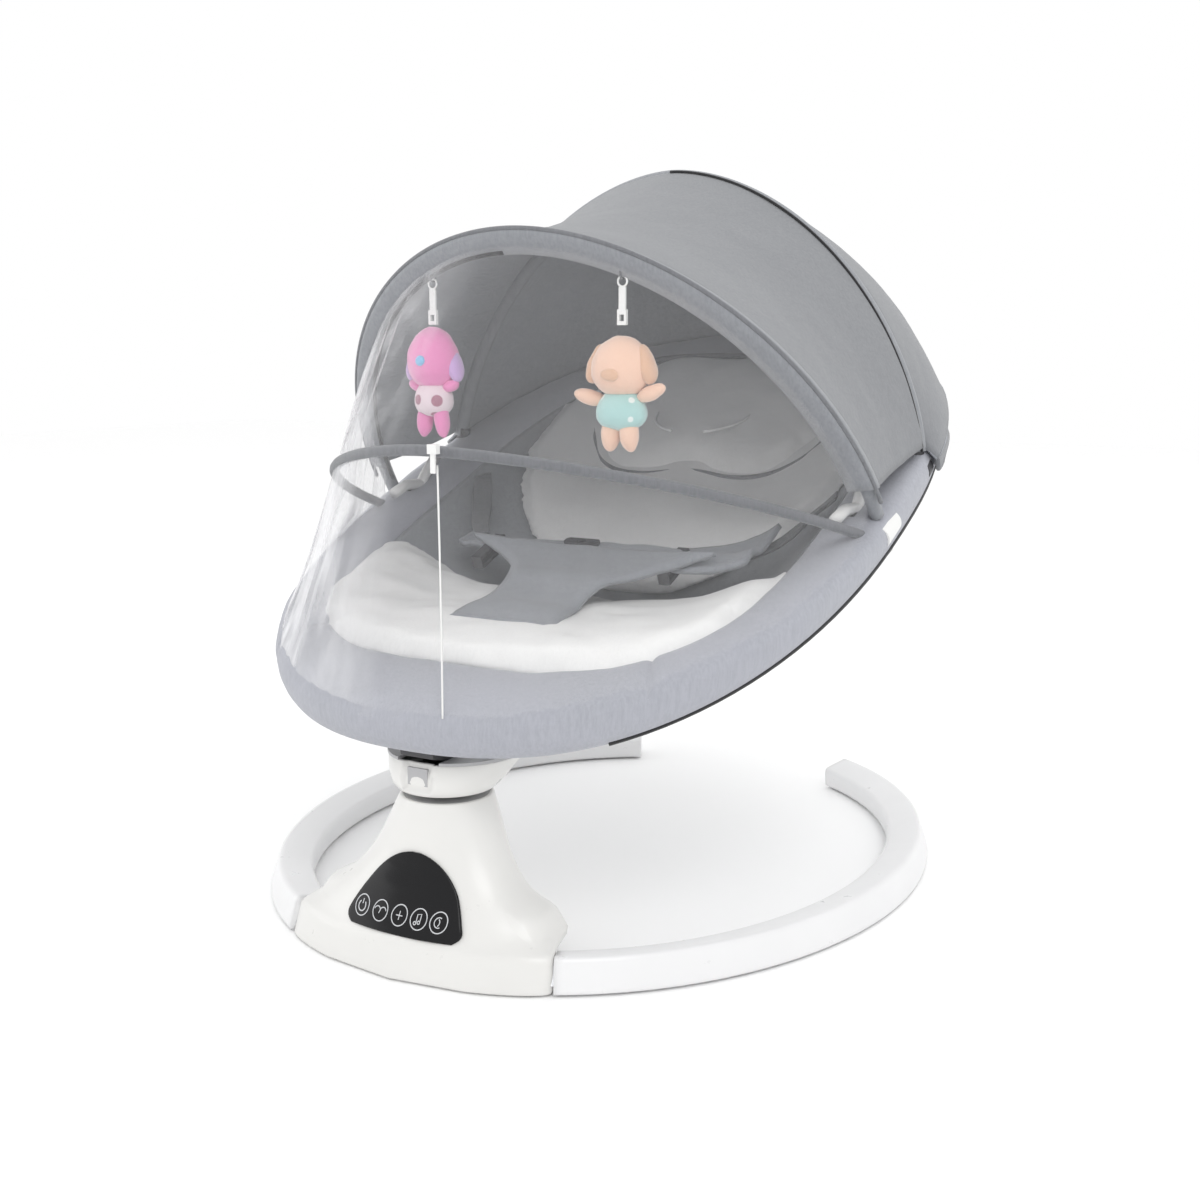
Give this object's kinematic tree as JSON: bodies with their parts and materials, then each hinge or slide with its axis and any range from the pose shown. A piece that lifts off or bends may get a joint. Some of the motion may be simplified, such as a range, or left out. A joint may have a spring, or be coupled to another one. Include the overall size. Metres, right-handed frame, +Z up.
{
  "type": "baby swing",
  "caption": "Baby swing: a reclining padded seat with harness, folding canopy, net and hanging plush toys, on a hub that swings over an open ring base with a touch panel.",
  "frame": {"origin": "on the floor, in the middle of the footprint of the whole object", "axes": "+Z up; the front, with the control panel, faces -Y; +X is to the right as seen from the front"},
  "size_m": [0.58, 0.7487, 0.6269],
  "materials": {
    "white_plastic": "satin",
    "white_metal": "satin",
    "black_lens": "gloss",
    "board": "satin",
    "dark_plastic": "matte",
    "grey_plastic": "satin",
    "steel": "brushed",
    "copper": "satin",
    "rubber": "matte",
    "grey_fabric": "woven",
    "grey_tube": "satin",
    "white_fabric": "woven",
    "net": "sheer net",
    "pink_plush": "plush",
    "peach_plush": "plush"
  },
  "bodies": {
    "base": {"front_housing": "white_plastic", "rear_housing": "white_plastic", "bottom_cover": "white_plastic", "panel_lens": "black_lens", "control_board": "board", "speaker": "dark_plastic", "dc_inlet": "dark_plastic", "neck_collar": "grey_plastic", "bearing_block": "dark_plastic", "bearings": "steel", "drive_coil": "copper", "ring_tube_left": "white_plastic", "ring_tube_right": "white_plastic", "ring_joiners": "steel", "end_caps": "white_plastic", "rubber_feet": "rubber", "base_screws": "steel"},
    "hub": {"hub_core": "dark_plastic", "hub_bowl": "white_plastic", "hub_plate": "dark_plastic", "swing_shaft": "steel", "magnet_arm": "dark_plastic", "drive_magnet": "steel", "shaft_circlip": "steel", "hub_screws": "steel", "recline_pin": "steel", "button_spring": "steel"},
    "button": {"recline_button": "grey_plastic"},
    "seat": {"seat_bracket": "dark_plastic", "bracket_screws": "steel", "front_tube": "white_metal", "rear_tube": "white_metal", "canopy_mounts": "white_plastic", "mount_pins": "white_plastic", "mount_knobs": "white_plastic", "seat_border": "grey_fabric", "seat_bucket": "grey_fabric", "lower_pad": "white_fabric", "back_pad": "white_fabric", "head_pillow": "white_fabric", "crotch_strap": "grey_fabric", "waist_straps": "grey_fabric", "buckle": "dark_plastic", "strap_sliders": "dark_plastic", "rear_bow": "grey_tube", "bow_clips": "dark_plastic", "rear_canopy": "grey_fabric", "head_skirt": "grey_fabric", "front_canopy": "grey_fabric"},
    "front_bow": {"front_bow": "grey_tube", "front_bow_eyes": "dark_plastic", "toy_loops": "grey_fabric"},
    "net_bow": {"net_bow": "grey_tube", "net_bow_eyes": "dark_plastic", "zip_pull": "white_plastic", "mosquito_net": "net"},
    "pink_toy": {"pink_toy": "pink_plush", "pink_strap": "white_plastic"},
    "peach_toy": {"peach_toy": "peach_plush", "peach_strap": "white_plastic"}
  },
  "joints": [
    {"name": "swing", "type": "hinge", "parent": "base", "child": "hub", "pos_m": [0, -0.296, 0.126], "axis": [0, 0.1045, 0.9945], "range_deg": [-15, 15]},
    {"name": "recline", "type": "hinge", "parent": "hub", "child": "seat", "pos_m": [0, -0.286, 0.146], "axis": [1, 0, 0], "range_deg": [-8, 5]},
    {"name": "recline_press", "type": "slide", "parent": "hub", "child": "button", "axis": [0, 1, 0], "range_m": [0, 0.004], "stiffness_N_per_m": 400, "deforming": ["button_spring"]},
    {"name": "canopy_fold", "type": "hinge", "parent": "seat", "child": "front_bow", "pos_m": [0, -0.02053, 0.31809], "axis": [1, 0, 0], "range_deg": [-50, 0], "deforming": ["front_canopy"]},
    {"name": "net_lift", "type": "hinge", "parent": "front_bow", "child": "net_bow", "pos_m": [0, -0.02053, 0.31809], "axis": [1, 0, 0], "range_deg": [-28, 0], "deforming": ["mosquito_net"]},
    {"name": "pink_toy_hang", "type": "hinge", "parent": "front_bow", "child": "pink_toy", "pos_m": [-0.08727, -0.18129, 0.51895], "axis": [1, 0, 0], "range_deg": [-25, 25]},
    {"name": "peach_toy_hang", "type": "hinge", "parent": "front_bow", "child": "peach_toy", "pos_m": [0.09132, -0.18016, 0.51742], "axis": [1, 0, 0], "range_deg": [-25, 25]}
  ]
}
